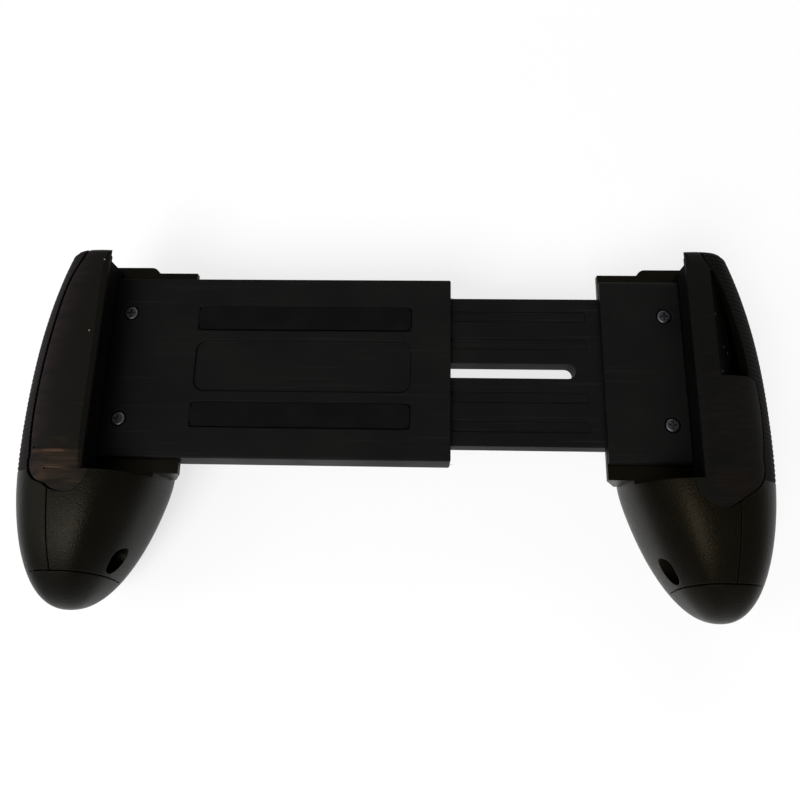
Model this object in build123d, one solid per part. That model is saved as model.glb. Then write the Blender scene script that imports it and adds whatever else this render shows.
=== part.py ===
from build123d import *
import math
import os

os.makedirs("parts", exist_ok=True)

# A telescoping gaming grip. It lies on the backs of its two handles, opened for a wide load.
# X runs across, Y away from the player and Z up out of the bay. Sizes are in millimetres.
# Both handles are drawn on the right, at x > 0, and the left one is their mirror image.

# Bay between the jaws
bay_length = 165.2
bay_height = 8.4
bay_lip_drop = 3.6
lip_overhang = 1.8
shoulder_drop = 63.6

# Handle block, which the rounded form just fills
grip_length = 100.0
grip_width = 38.4
grip_depth = 44.0
grip_inboard = 16.6
rest_flat = 0.5
form_squareness = 2.6
tip_taper = 1.2
tip_roundness = 2.2
tip_outboard = 14.2
tip_lean = 1.1
tip_drop = 3.6
top_rounding = 2.5

# Each station of the form: its share of the handle's length from the top end, and then how far
# the outer side, the inner side, the front and the back lie inside the block there
form_stations = (
    (0.000, 8.9, 6.0, 1.0, 9.5),
    (0.074, 6.1, 4.0, 0.0, 3.0),
    (0.194, 2.7, 2.0, 0.0, 0.0),
    (0.344, 0.7, 1.0, 0.0, 0.0),
    (0.494, 0.0, 0.0, 0.0, 0.0),
    (0.634, 0.1, 0.0, 0.5, 0.0),
)
tip_steps = (0.20, 0.40, 0.58, 0.74, 0.86, 0.94, 0.985)
points_round = 16

# How far a cutter runs past the face that it opens
over = 1.0

# Walls and seams
shell_wall = 2.8
strip_wall = 1.3
seam_outboard = 6.6
seam_width = 0.3
tray_wall = 2.0
sleeve_side = 4.5
cover_wall = 2.0
cover_lip = 0.8

# Front plates of the jaws
left_groove = 1.0
right_groove = 0.45
plate_bed = 0.8
edge_flat = 1.2

# How far their outer edges lie inside the handle's outer side: level with the wedge's high end,
# level with its low end, and from there down
left_groove_inset = (8.7, 8.7, 8.7)
right_groove_inset = (10.6, 9.5, 7.2)

# Their lower outer corners, each point as its place inboard of the groove and below the shoulder
left_corner_edge = ((0.8, -3.5), (1.3, 1.0), (3.4, 3.1))
right_corner_edge = ((1.0, -5.1), (1.8, 0.5), (3.9, 2.8))

# The tongues below them, each point as its place outboard of the jaw's edge and below the shoulder
left_tongue_edge = ((8.9, 4.0), (7.4, 5.1), (5.0, 5.9), (2.4, 5.8), (-0.2, 3.9), (-1.8, 1.0))
right_tongue_edge = ((9.5, 4.7), (7.4, 6.2), (4.8, 7.4), (2.2, 6.9), (-0.6, 4.9), (-2.4, 1.9))

# Open wedge beside the upper half of the right front plate
pocket_length = 30.0
pocket_side = 3.3
pocket_flare = 0.4
pocket_depth = 5.5
pocket_crest = 0.9
pocket_wall = 1.2
pocket_start = 6.6
pocket_outer_gap = 1.4
pocket_step = (0.6, 1.0)
pocket_shell_gap = 0.4

# Two moulded lines on the left front plate
mark_depth = 0.35
mark_width = 0.6
mark_edge_gap = 1.2
mark_rise = (5.2, -0.4)
mark_length = (9.0, 5.0)

# Rubber pads of the jaws
pad_wall = 2.0
pad_lip = 1.5
pad_end_gap = 1.5
pad_edge_gap = 0.3

# Ribbed strips on the outer sides
strip_back = 12.0
strip_tuck = 1.2
strip_below_shoulder = 0.3

# End caps
cap_length = 11.0
cap_tilt = 0.13
cap_seam_depth = 6.0
cap_wall = 1.6
spigot_length = 4.0
spigot_wall = 1.4
spigot_gap = 0.1
smallest_spigot_piece = 5.0

# Screws across the handle shells: one near the tip, one above the shoulder and one near the top
tip_screw_rise = 13.6
tip_screw_depth = 19.0
middle_screw_rise = 11.6
middle_screw_drop = 8.5
top_screw_inset = 15.0
top_screw_drop = 7.0
well_radius = 3.5
well_wall = 1.3
well_floor = 2.0
well_outboard = 1.6
mouth_inset = 9.4
mouth_radius = 3.2
mouth_tilt = 50.0
mouth_sink = 1.5
mouth_reach = 10.0
shell_boss_radius = 3.2
shell_screw_length = 12.0
shell_screw_radius = 1.4
shell_head_radius = 2.8
shell_head_height = 2.0
shell_boss_gap = 1.0
screw_play = 0.05

# Cross recess and rounding of a screw's head, as shares of the head's radius and height
cross_length = 1.15
cross_width = 0.3
cross_floor = 0.3
head_rounding = 0.45

# Sleeve on the left handle
sleeve_width = 54.0
sleeve_middle = 18.6
sleeve_height = 11.0
sleeve_closed_gap = 1.1
sleeve_socket = 4.5
sleeve_rounding = 2.0
slide_play = 0.3

# Slide on the right handle
slide_closed_gap = 2.5
slide_entry = 10.0
slide_step = 5.5
slide_socket = 16.0
slide_root_height = 4.6
slide_travel_in = 42.0
slide_travel_out = 3.0
slide_skin = 1.0
slide_rib_depth = 0.5
slide_rib_width = 3.0
slide_rib_end_gap = 4.0
slide_rib_places = (-16.5, -8.0, 8.0, 16.5)

# Collar where the bridge enters each handle
collar_reach = 6.4
collar_bury = 8.0
collar_margin_high = 2.6
collar_margin_low = 4.2
collar_below_sleeve = 7.0
collar_slope = 6.5
collar_slope_top = 2.0
collar_rounding = 4.0

# Stop screw in its slot
stop_inset = 8.5
stop_radius = 1.9
stop_slot_play = 0.3
stop_head_radius = 3.4
stop_head_height = 1.2
stop_end_gap = 0.2
stop_cover = 0.8

# Springs and what they hook on
spring_offset = 12.5
spring_radius = 2.2
spring_wire = 0.7
spring_turns = 24
spring_hook_gap = 2.0
spring_channel = 6.4
spring_channel_end = 4.0
spring_hook_play = 0.1
spring_wire_bury = 0.1
tray_post_inset = 6.5
slide_pin_place = 12.0
post_radius = 1.1
post_play = 0.3
post_floor = 0.8
slide_pin_cover = 0.2

# Pads on the tray and the screws of the bridge
tray_pad_length = 62.0
tray_pad_width = 7.0
tray_pad_height = 0.7
tray_pad_recess = 0.4
tray_pad_offset = 14.5
tray_pad_end_gap = 11.5
tray_pad_corner = 2.1
tray_panel_width = 15.0
tray_panel_depth = 0.5
tray_panel_corner = 3.0
bay_screw_offset = 16.0
bay_screw_inset = 5.0
small_screw_radius = 1.0
small_head_radius = 2.0
small_head_height = 1.2
head_play = 0.2
small_screw_length = 7.0
small_screw_end_gap = 0.4
cover_screw_length = 6.0
cover_screw_inset = 7.0
bay_boss_radius = 2.6
bay_plate_rounding = 1.2
panel_inset = 5.0
panel_screw_gap = 6.0
panel_rib_inset = 4.0
panel_depth = 0.5
panel_rib_width = 2.0
panel_rib_pitch = 8.0
panel_rib_count = 5

# Places worked out from the sizes above
bay_half = bay_length / 2
inner_side = bay_half - grip_inboard
outer_side = inner_side + grip_width
grip_top = grip_length / 2
grip_tip = -grip_length / 2
shoulder = grip_top - shoulder_drop
seam = bay_half + seam_outboard
jaw_edge = bay_half - lip_overhang
jaw_wall = bay_half + pad_wall
lip_height = grip_depth - bay_lip_drop
floor_height = lip_height - bay_height
plate_underside = lip_height - plate_bed
pad_top = lip_height + pad_lip
ledge = floor_height - tray_wall
cap_seam = grip_tip + cap_length
sleeve_low = sleeve_middle - sleeve_width / 2
sleeve_high = sleeve_middle + sleeve_width / 2
sleeve_back = floor_height - sleeve_height
sleeve_left_end = -inner_side - sleeve_socket
collar_end = inner_side - collar_reach
collar_front = ledge
collar_back = sleeve_back - collar_below_sleeve
sleeve_right_end = collar_end - slide_travel_in - sleeve_closed_gap
slide_half = sleeve_width / 2 - sleeve_side - slide_play
slide_front = ledge - slide_play
slide_back = sleeve_back + cover_wall + slide_play
slide_left_end = sleeve_left_end + cover_wall + slide_travel_in + slide_closed_gap
slide_right_end = inner_side + slide_socket
stop_place = sleeve_right_end - stop_inset
tray_post_place = sleeve_left_end + cover_wall + tray_post_inset
spring_height = (sleeve_back + cover_wall + slide_front - slide_skin) / 2
tray_pad_middle = sleeve_right_end - tray_pad_end_gap - tray_pad_length / 2
well_end = bay_half + well_outboard
bay_screw_place = bay_half - bay_screw_inset
bay_screw_rows = (sleeve_middle - bay_screw_offset, sleeve_middle + bay_screw_offset)
shell_screw_places = (
    (grip_tip + tip_screw_rise, grip_depth - tip_screw_depth),
    (shoulder + middle_screw_rise, sleeve_back - middle_screw_drop),
    (grip_top - top_screw_inset, sleeve_back - top_screw_drop),
)
pocket_floor = plate_underside - pocket_depth
pocket_low = grip_top - pocket_start - pocket_length
clear = 60.0


def block(x0, x1, y0, y1, z0, z1):
    """A box between its limits along each axis."""
    middle = Pos((x0 + x1) / 2, (y0 + y1) / 2, (z0 + z1) / 2)
    return middle * Box(x1 - x0, y1 - y0, z1 - z0)


def rod(x0, x1, y, z, radius):
    """A round bar along X."""
    return Pos((x0 + x1) / 2, y, z) * Rot(0, 90, 0) * Cylinder(radius, x1 - x0)


def pin(x, y, z0, z1, radius):
    """A round bar along Z."""
    return Pos(x, y, (z0 + z1) / 2) * Cylinder(radius, z1 - z0)


def prism(outline, z0, z1):
    """A flat outline raised from one height to another."""
    return Pos(0, 0, z0) * extrude(outline, z1 - z0, dir=(0, 0, 1))


def station_block(station):
    """Limits of the form at one station: height along Y, outer, inner, front and back."""
    share, outer, inner, front, back = station
    y = grip_top - share * grip_length
    return y, outer_side - outer, inner_side + inner, grip_depth - front, back - rest_flat


def rounded_section(y, middle, height, half_width, half_depth):
    """A rounded square across the handle, as a closed curve by its formula."""
    points = []
    for k in range(points_round):
        turn = 2 * math.pi * (k + 0.5) / points_round
        across = math.copysign(abs(math.cos(turn)) ** (2 / form_squareness), math.cos(turn))
        up = math.copysign(abs(math.sin(turn)) ** (2 / form_squareness), math.sin(turn))
        points.append(Vector(middle + half_width * across, y, height + half_depth * up))
    spacing = [k / points_round for k in range(points_round + 1)]
    return Face(Wire([Edge.make_spline(points, parameters=spacing, periodic=True)]))


def handle_form(inset, top_inset):
    """The whole rounded handle, or the same form a wall thickness smaller all round."""
    sections = []
    for number, station in enumerate(form_stations):
        y, outer, inner, front, back = station_block(station)
        if number == 0:
            y -= top_inset
        middle = (outer + inner) / 2
        height = (front + back) / 2
        half_width = (outer - inner) / 2 - inset
        half_depth = (front - back) / 2 - inset
        sections.append(rounded_section(y, middle, height, half_width, half_depth))
    tip_middle = outer_side - tip_outboard
    tip_length = y - grip_tip - inset
    for step in tip_steps:
        across = (1 - step**tip_taper) ** (1 / tip_roundness)
        deep = (1 - step**tip_roundness) ** (1 / tip_roundness)
        sections.append(
            rounded_section(
                y - step * tip_length,
                middle + (tip_middle - middle) * step**tip_lean,
                height - tip_drop * step,
                half_width * across,
                half_depth * deep,
            )
        )
    sections.append(Vertex(tip_middle, y - tip_length, height - tip_drop))
    return loft(sections)


def handle_outside():
    """The handle's outer form, rounded at its top end and planed flat where it rests."""
    form = handle_form(0, 0)
    form = fillet([form.edges().sort_by(Axis.Y)[-1]], top_rounding)
    return form - block(0, outer_side + over, grip_tip - over, grip_top + over, -clear, 0)


def plate_side(groove_inset, corner_start):
    """The plate's outer edge, in one sweep or with a step out at the wedge's low end."""
    high_inset, low_inset, lower_inset = groove_inset
    upper = []
    lower = []
    for station in form_stations:
        y, outer, inner, front, back = station_block(station)
        if y > pocket_low:
            share = (y - pocket_low) / pocket_length
            upper.append((outer - low_inset - share * (high_inset - low_inset), y))
        elif y > shoulder - corner_start[1]:
            lower.append((outer - lower_inset, y))
    corner = (lower[-1][0] - corner_start[0], shoulder - corner_start[1])
    upper.insert(0, (upper[0][0], grip_top + over))
    if low_inset == lower_inset:
        return [Spline(*upper, *lower, corner)], lower[-1][0]
    inboard, below = pocket_step
    step_inner = (upper[-1][0], pocket_low)
    step_outer = (lower[0][0] - inboard, pocket_low - below)
    lines = [
        Spline(*upper, step_inner),
        Line(step_inner, step_outer),
        Spline(step_outer, *lower, corner),
    ]
    return lines, lower[-1][0]


def plate_outline(groove_inset, corner_edge, tongue_edge):
    """Outline of a jaw's front plate, seen from the front, with its rounded tongue."""
    side, widest = plate_side(groove_inset, corner_edge[0])
    corner = [(widest - inboard, shoulder - below) for inboard, below in corner_edge]
    tongue = [(jaw_edge + outboard, shoulder - below) for outboard, below in tongue_edge]
    top = grip_top + over
    lines = [
        Line((jaw_edge, top), side[0] @ 0),
        *side,
        ThreePointArc(*corner),
        Line(corner[-1], tongue[0]),
        Spline(*tongue),
        Line(tongue[-1], (tongue[-1][0], shoulder)),
        Line((tongue[-1][0], shoulder), (jaw_edge, shoulder)),
        Line((jaw_edge, shoulder), (jaw_edge, top)),
    ]
    return Face(Wire(lines))


def plate_recess(outline, groove):
    """What the shells lose for the plate, with the open groove along its outer side."""
    bed = prism(outline, plate_underside, grip_depth + over)
    return bed + Pos(groove, 0, 0) * bed


def strip_space(outline, groove):
    """Where the ribbed strip lies, from the groove outwards, down to the strip's end."""
    low = shoulder - strip_below_shoulder
    left = jaw_wall + over
    side = block(left, outer_side + over, low, grip_top + over, strip_back, grip_depth + over)
    beside = Pos(groove, 0, 0) * prism(outline, strip_back, grip_depth + 2 * over)
    under = block(
        left - over,
        seam + strip_tuck,
        low - over,
        grip_top + 2 * over,
        strip_back - over,
        plate_underside,
    )
    return side - beside - under


def cap_plane(offset):
    """The tilted plane of the end cap's seam, moved along the handle."""
    return Plane(
        origin=(0, cap_seam + offset, grip_depth - cap_seam_depth),
        z_dir=(0, 1, -cap_tilt),
    )


def well_mouth():
    """The round mouth of the lowest well, turned up towards the player."""
    y, z = shell_screw_places[0]
    drill = Pos(0, 0, mouth_reach / 2 - mouth_sink) * Cylinder(mouth_radius, mouth_reach)
    return Pos(inner_side + mouth_inset, y, z) * Rot(0, -mouth_tilt, 0) * drill


def collar():
    """The block on the handle's inner side that takes the end of the bridge."""
    low = sleeve_low - collar_margin_low
    high = sleeve_high + collar_margin_high
    body = block(collar_end, inner_side + collar_bury, low, high, collar_back, collar_front)
    body = fillet(body.edges().filter_by(Axis.X).group_by(Axis.Z)[0], collar_rounding)
    slope = Polyline(
        (collar_end - over, collar_back - over),
        (collar_end + collar_slope, collar_back - over),
        (collar_end, collar_front - collar_slope_top),
        (collar_end - over, collar_front - collar_slope_top),
        close=True,
    )
    return body - extrude(Plane.XZ * Face(Wire(slope.edges())), clear, both=True)


def shells(form, seat, core, outline, groove, socket):
    """The inner and outer half of one handle, hollow, with every seat cut into them."""
    bay = block(0, jaw_wall, shoulder, grip_top + over, ledge, grip_depth + over)
    bay_wall = block(
        0,
        jaw_wall + tray_wall,
        shoulder - tray_wall,
        grip_top + over,
        ledge - tray_wall,
        grip_depth + over,
    )
    hollow = core - bay_wall
    body = form + (collar() - core)
    recess = plate_recess(outline, groove)
    strip = strip_space(outline, groove)
    hull = body - hollow - bay - recess - (strip - seat)
    for y, z in shell_screw_places:
        hull += rod(collar_end, well_end, y, z, well_radius + well_wall) & form
    hull = split(hull, bisect_by=cap_plane(0), keep=Keep.TOP)
    inner = split(hull, bisect_by=Plane.YZ.offset(seam), keep=Keep.BOTTOM)
    outer = split(hull, bisect_by=Plane.YZ.offset(seam), keep=Keep.TOP)

    shank = shell_screw_radius + screw_play
    shank_end = well_end - well_floor + shell_screw_length + screw_play
    for y, z in shell_screw_places:
        inner -= rod(collar_end - over, well_end - well_floor, y, z, well_radius)
        inner -= rod(collar_end, well_end + over, y, z, shank)
        outer += rod(well_end, outer_side - shell_boss_gap, y, z, shell_boss_radius) & core
        outer -= rod(well_end - over, shank_end, y, z, shank)
    inner -= well_mouth()
    slit = block(seam - seam_width, seam, grip_tip, grip_top + over, -over, grip_depth + over)
    inner -= slit - seat

    bay_screw_end = ledge - small_screw_length
    for y in bay_screw_rows:
        if socket == "sleeve":
            inner += pin(bay_screw_place, y, bay_screw_end, ledge - tray_wall, bay_boss_radius)
        inner -= pin(bay_screw_place, y, bay_screw_end, ledge + over, small_screw_radius + screw_play)
    inner -= bridge_entry(socket)
    return inner, outer


def bridge_entry(socket):
    """The opening in the collar and the inner wall that the sleeve or the slide passes."""
    left = collar_end - over
    if socket == "sleeve":
        right = inner_side + sleeve_socket
        return block(left, right, sleeve_low, sleeve_high, sleeve_back, collar_front + over)
    low = sleeve_middle - slide_half
    high = sleeve_middle + slide_half
    return block(left, inner_side + slide_entry, low, high, slide_back, slide_front)


def jaw_plate(form, outline):
    """The smooth plate on the front of a jaw, which hooks over the bay's edge with a slanted flat."""
    plate = prism(outline, plate_underside, grip_depth + over) & form
    pad = block(0, jaw_wall, shoulder, grip_top + over, plate_underside - over, pad_top)
    slope = Polyline(
        (jaw_edge - over, grip_depth - edge_flat - over),
        (jaw_edge + edge_flat + over, grip_depth + over),
        (jaw_edge - over, grip_depth + over),
        close=True,
    )
    flat = extrude(Plane.XZ * Face(Wire(slope.edges())), clear, both=True)
    return plate - pad - Pos(0, shoulder + clear, 0) * flat


def left_plate_marks(plate):
    """Two shallow moulded lines near the lower end of the left plate."""
    right = outer_side - left_groove_inset[2] - mark_edge_gap
    for rise, length in zip(mark_rise, mark_length):
        y = shoulder + rise
        line = block(right - length, right, y, y + mark_width, 0, grip_depth + over)
        shallow = Pos(0, 0, -mark_depth) * plate
        plate -= line - shallow
        right -= mark_length[0] - mark_length[1]
    return plate


def right_plate_pocket(plate, core):
    """The open wedge beside the right plate's upper half, with its own sloping floor."""
    low = pocket_low
    high = low + pocket_length
    left = bay_half + pocket_side
    right = outer_side - right_groove_inset[1] - pocket_outer_gap
    tub_left = jaw_wall + tray_wall + pocket_shell_gap
    tub = block(tub_left, right, low - pocket_wall, high, pocket_floor, plate_underside) & core
    mouth = Polyline(
        (left, low),
        (outer_side, low),
        (outer_side, high),
        (left - pocket_flare, high),
        close=True,
    )
    space = prism(Face(Wire(mouth.edges())), pocket_floor - over, grip_depth + over)
    slope = Polyline(
        (left, grip_depth + pocket_crest),
        (right, pocket_floor + pocket_wall),
        (outer_side, pocket_floor + pocket_wall),
        (outer_side, pocket_floor - 2 * over),
        (left - over, pocket_floor - 2 * over),
        (left - over, grip_depth + pocket_crest),
        close=True,
    )
    floor = extrude(Plane.XZ * Face(Wire(slope.edges())), clear, both=True)
    return (plate + tub) - (space - floor)


def jaw_pad():
    """The rubber lining of a jaw: a wall and a lip under the plate's edge."""
    low = shoulder + pad_edge_gap
    high = grip_top - pad_end_gap
    wall = block(bay_half, jaw_wall, low, high, ledge, pad_top)
    lip = block(jaw_edge + pad_edge_gap, jaw_wall, low, high, lip_height, pad_top)
    return wall + lip


def side_strip(form, seat, outline, groove):
    """The thin ribbed strip let into the handle's outer side."""
    return (strip_space(outline, groove) & form) - seat


def end_cap(form, seat, core):
    """The rounded end of the handle, with a spigot that the two shells close on."""
    cap = split(form, bisect_by=cap_plane(0), keep=Keep.BOTTOM)
    cap -= split(core, bisect_by=cap_plane(-cap_wall), keep=Keep.BOTTOM)
    slit = split(form, bisect_by=cap_plane(-seam_width), keep=Keep.TOP)
    cap -= split(slit, bisect_by=cap_plane(0), keep=Keep.BOTTOM) - seat
    ring = handle_form(shell_wall + spigot_gap, shell_wall)
    ring -= handle_form(shell_wall + spigot_gap + spigot_wall, shell_wall)
    ring = split(ring, bisect_by=cap_plane(spigot_length), keep=Keep.BOTTOM)
    ring = split(ring, bisect_by=cap_plane(0), keep=Keep.TOP)
    y, z = shell_screw_places[0]
    ring -= rod(inner_side, outer_side, y, z, well_radius + well_wall + spigot_gap)
    for piece in ring.solids():
        if piece.volume > smallest_spigot_piece:
            cap += piece
    return cap


def screw(head_radius, head_height, radius, length):
    """A cross-recessed pan-head screw along Z, its head's underside at z = 0, shank down."""
    head = Pos(0, 0, head_height / 2) * Cylinder(head_radius, head_height)
    head = fillet([head.edges().sort_by(Axis.Z)[-1]], head_height * head_rounding)
    long_side = head_radius * cross_length
    short_side = head_radius * cross_width
    cross = Pos(0, 0, head_height * (cross_floor + 0.5))
    head -= cross * Box(long_side, short_side, head_height)
    head -= cross * Box(short_side, long_side, head_height)
    return head + Pos(0, 0, -length / 2) * Cylinder(radius, length)


def shell_screws():
    """The three screws that pull the handle's halves together, heads in their wells."""
    found = []
    for y, z in shell_screw_places:
        one = screw(shell_head_radius, shell_head_height, shell_screw_radius, shell_screw_length)
        found.append(Pos(well_end - well_floor, y, z) * Rot(0, -90, 0) * one)
    return found


def bay_screws():
    """Two screws at the end of the bay's floor, down through the ledge."""
    found = []
    for y in bay_screw_rows:
        one = screw(small_head_radius, small_head_height, small_screw_radius, small_screw_length)
        found.append(Pos(bay_screw_place, y, floor_height - small_head_height) * one)
    return found


def bay_screw_seats(x):
    """The two screw holes through the end of the bay's floor, each with a seat for its head."""
    seat_low = floor_height - small_head_height
    cuts = []
    for y in bay_screw_rows:
        cuts.append(pin(x, y, seat_low, floor_height + over, small_head_radius + head_play))
        cuts.append(pin(x, y, ledge - over, floor_height, small_screw_radius + screw_play))
    return cuts


def bridge_tray():
    """The sleeve's front: the bay's floor, its two long sides and the end wall."""
    left = -(bay_half - pad_edge_gap)
    floor = block(left, sleeve_right_end, sleeve_low, sleeve_high, ledge, floor_height)
    box = block(
        sleeve_left_end,
        sleeve_right_end,
        sleeve_low,
        sleeve_high,
        sleeve_back,
        floor_height,
    )
    box = fillet(
        box.edges().filter_by(Axis.X).group_by(Axis.Z)[-1],
        sleeve_rounding,
    )
    inside = block(
        sleeve_left_end + cover_wall,
        sleeve_right_end + over,
        sleeve_low + sleeve_side,
        sleeve_high - sleeve_side,
        sleeve_back - over,
        ledge,
    )
    cover_seat = block(
        sleeve_left_end,
        sleeve_right_end + over,
        sleeve_low + cover_lip,
        sleeve_high - cover_lip,
        sleeve_back - over,
        sleeve_back + cover_wall,
    )
    tray = floor + box - inside - cover_seat
    for side in (-1, 1):
        y = sleeve_middle + side * tray_pad_offset
        low = y - tray_pad_width / 2
        seat_z = floor_height - tray_pad_recess
        tray -= block(
            tray_pad_middle - tray_pad_length / 2,
            tray_pad_middle + tray_pad_length / 2,
            low,
            low + tray_pad_width,
            seat_z,
            floor_height + over,
        )
    panel = block(
        tray_pad_middle - tray_pad_length / 2,
        tray_pad_middle + tray_pad_length / 2,
        sleeve_middle - tray_panel_width / 2,
        sleeve_middle + tray_panel_width / 2,
        floor_height - tray_panel_depth,
        floor_height + over,
    )
    tray -= fillet(panel.edges().filter_by(Axis.Z), tray_panel_corner)
    for cut in bay_screw_seats(-bay_screw_place):
        tray -= cut
    top = sleeve_back + small_head_height + cover_screw_length + small_screw_end_gap
    for x, y in cover_screw_places():
        tray -= pin(x, y, sleeve_back, top, small_screw_radius + screw_play)
    stop_top = floor_height - stop_cover
    tray -= pin(stop_place, sleeve_middle, slide_front, stop_top, stop_radius + screw_play)
    return tray


def cover_screw_places():
    """Where the rear cover's four screws stand, in the sleeve's side walls."""
    found = []
    reach = sleeve_width / 2 - cover_lip - small_head_radius - head_play
    for x in (sleeve_left_end + cover_screw_inset, sleeve_right_end - cover_screw_inset):
        for side in (-1, 1):
            found.append((x, sleeve_middle + side * reach))
    return found


def rear_cover():
    """The plate that closes the sleeve from behind, with a ribbed panel."""
    cover = block(
        sleeve_left_end,
        sleeve_right_end,
        sleeve_low + cover_lip,
        sleeve_high - cover_lip,
        sleeve_back,
        sleeve_back + cover_wall,
    )
    left = -collar_end + panel_inset
    right = sleeve_right_end - panel_inset - panel_screw_gap
    low = sleeve_low + sleeve_side + panel_inset
    high = sleeve_high - sleeve_side - panel_inset
    below = sleeve_back - over
    top = sleeve_back + cover_wall + over
    panel = block(left, right, low, high, below, sleeve_back + panel_depth)
    for k in range(panel_rib_count):
        y = sleeve_middle + (k - (panel_rib_count - 1) / 2) * panel_rib_pitch
        rib_low = y - panel_rib_width / 2
        rib_high = y + panel_rib_width / 2
        panel -= block(left + panel_rib_inset, right - panel_rib_inset, rib_low, rib_high, below, top)
    cover -= panel
    head_seat = sleeve_back + small_head_height
    for x, y in cover_screw_places():
        cover -= pin(x, y, below, head_seat, small_head_radius + head_play)
        cover -= pin(x, y, below, top, small_screw_radius + screw_play)
    for side in (-1, 1):
        y = sleeve_middle + side * spring_offset
        cover -= pin(tray_post_place, y, sleeve_back + post_floor, top, post_radius)
    stop_seat = sleeve_back + stop_head_height
    cover -= pin(stop_place, sleeve_middle, below, stop_seat, stop_head_radius + head_play)
    cover -= pin(stop_place, sleeve_middle, below, top, stop_radius + screw_play)
    return cover


def cover_screws():
    """The four screws of the rear cover, heads to the back."""
    found = []
    for x, y in cover_screw_places():
        one = screw(small_head_radius, small_head_height, small_screw_radius, cover_screw_length)
        found.append(Pos(x, y, sleeve_back + small_head_height) * Rot(180, 0, 0) * one)
    return found


def stop_screw():
    """The shouldered screw that stops the slide at both ends of its slot."""
    seat = sleeve_back + stop_head_height
    length = floor_height - stop_cover - stop_end_gap - seat
    one = screw(stop_head_radius, stop_head_height, stop_radius, length)
    return Pos(stop_place, sleeve_middle, seat) * Rot(180, 0, 0) * one


def slide_plate():
    """The flat slide: two spring channels behind, a stop slot, and a root in the right handle."""
    low = sleeve_middle - slide_half
    high = sleeve_middle + slide_half
    step = inner_side + slide_step
    plate = block(slide_left_end, step, low, high, slide_back, slide_front)
    plate += block(step - over, slide_right_end, low, high, slide_back, slide_back + slide_root_height)
    below = slide_back - over
    above = slide_front + over
    channel_end = slide_pin_place + spring_channel_end
    channel_top = slide_front - slide_skin
    for side in (-1, 1):
        y = sleeve_middle + side * spring_offset
        channel_low = y - spring_channel / 2
        channel_high = y + spring_channel / 2
        plate -= block(slide_left_end - over, channel_end, channel_low, channel_high, below, channel_top)
        plate -= pin(slide_pin_place, y, channel_top, above, post_radius)
    half_slot = stop_radius + stop_slot_play
    slot_ends = (stop_place - slide_travel_out, stop_place + slide_travel_in)
    slot_low = sleeve_middle - half_slot
    slot_high = sleeve_middle + half_slot
    plate -= block(slot_ends[0], slot_ends[1], slot_low, slot_high, below, above)
    for x in slot_ends:
        plate -= pin(x, sleeve_middle, below, above, half_slot)
    rib_left = slide_left_end + slide_rib_end_gap
    rib_right = collar_end - slide_rib_end_gap
    for place in slide_rib_places:
        rib_low = sleeve_middle + place - slide_rib_width / 2
        rib_high = sleeve_middle + place + slide_rib_width / 2
        plate -= block(rib_left, rib_right, rib_low, rib_high, slide_front - slide_rib_depth, above)
    for y in bay_screw_rows:
        plate -= pin(bay_screw_place, y, below, ledge, small_screw_radius + screw_play)
    return plate


def right_bay_plate():
    """The right end of the bay's floor, screwed down over the slide's root."""
    plate = block(collar_end, bay_half - pad_edge_gap, sleeve_low, sleeve_high, ledge, floor_height)
    plate = fillet(plate.edges().filter_by(Axis.X).group_by(Axis.Z)[-1], bay_plate_rounding)
    for cut in bay_screw_seats(bay_screw_place):
        plate -= cut
    return plate


def tray_pads():
    """The two rubber strips on the tray that keep what lies in the bay from sliding."""
    found = []
    for side in (-1, 1):
        y = sleeve_middle + side * tray_pad_offset
        seat_z = floor_height - tray_pad_recess
        strip = block(
            tray_pad_middle - tray_pad_length / 2,
            tray_pad_middle + tray_pad_length / 2,
            y - tray_pad_width / 2,
            y + tray_pad_width / 2,
            seat_z,
            seat_z + tray_pad_height,
        )
        found.append(fillet(strip.edges().filter_by(Axis.Z), tray_pad_corner))
    return found


def spring(y):
    """An extension spring stretched along X, with a ring at each end over its post."""
    wire_radius = spring_wire / 2
    ring = post_radius + wire_radius + spring_hook_play
    start = tray_post_place + ring + spring_hook_gap
    end = slide_pin_place - ring - spring_hook_gap
    length = end - start
    coil = Helix(pitch=length / spring_turns, height=length, radius=spring_radius)
    path = Pos(start, y, spring_height) * Rot(0, 90, 0) * coil
    section = Plane(origin=path @ 0, z_dir=path % 0) * Circle(wire_radius)
    pieces = [sweep(section, path=path)]
    for post, inward, coil_end in ((tray_post_place, 1, start), (slide_pin_place, -1, end)):
        arm = (post + inward * (ring + spring_wire_bury), coil_end + inward * spring_wire_bury)
        pieces.append(Pos(post, y, spring_height) * Torus(ring, wire_radius))
        pieces.append(rod(min(arm), max(arm), y, spring_height, wire_radius))
        end_ring = Torus(spring_radius / 2, wire_radius)
        pieces.append(Pos(coil_end, y, spring_height) * Rot(0, 90, 0) * end_ring)
    return pieces


def spring_posts():
    """Two steel posts in the rear cover, which hold the springs' left ends."""
    low = sleeve_back + post_floor
    high = slide_front - slide_skin - post_play
    rows = (sleeve_middle - spring_offset, sleeve_middle + spring_offset)
    return [pin(tray_post_place, y, low, high, post_radius) for y in rows]


def slide_pins():
    """Two steel pins in the slide's skin, which hold the springs' right ends."""
    low = slide_back + post_play
    high = slide_front - slide_pin_cover
    rows = (sleeve_middle - spring_offset, sleeve_middle + spring_offset)
    return [pin(slide_pin_place, y, low, high, post_radius) for y in rows]


def mirrored(piece):
    """The same piece for the left handle."""
    return mirror(piece, about=Plane.YZ)


def save(name, pieces):
    """Writes one named piece, or a group of like ones, to its own file."""
    solids = []
    for piece in pieces if isinstance(pieces, list) else [pieces]:
        solids += piece.solids()
    whole = solids[0] if len(solids) == 1 else Compound(children=solids)
    export_step(whole, f"parts/{name}.step")


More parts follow.
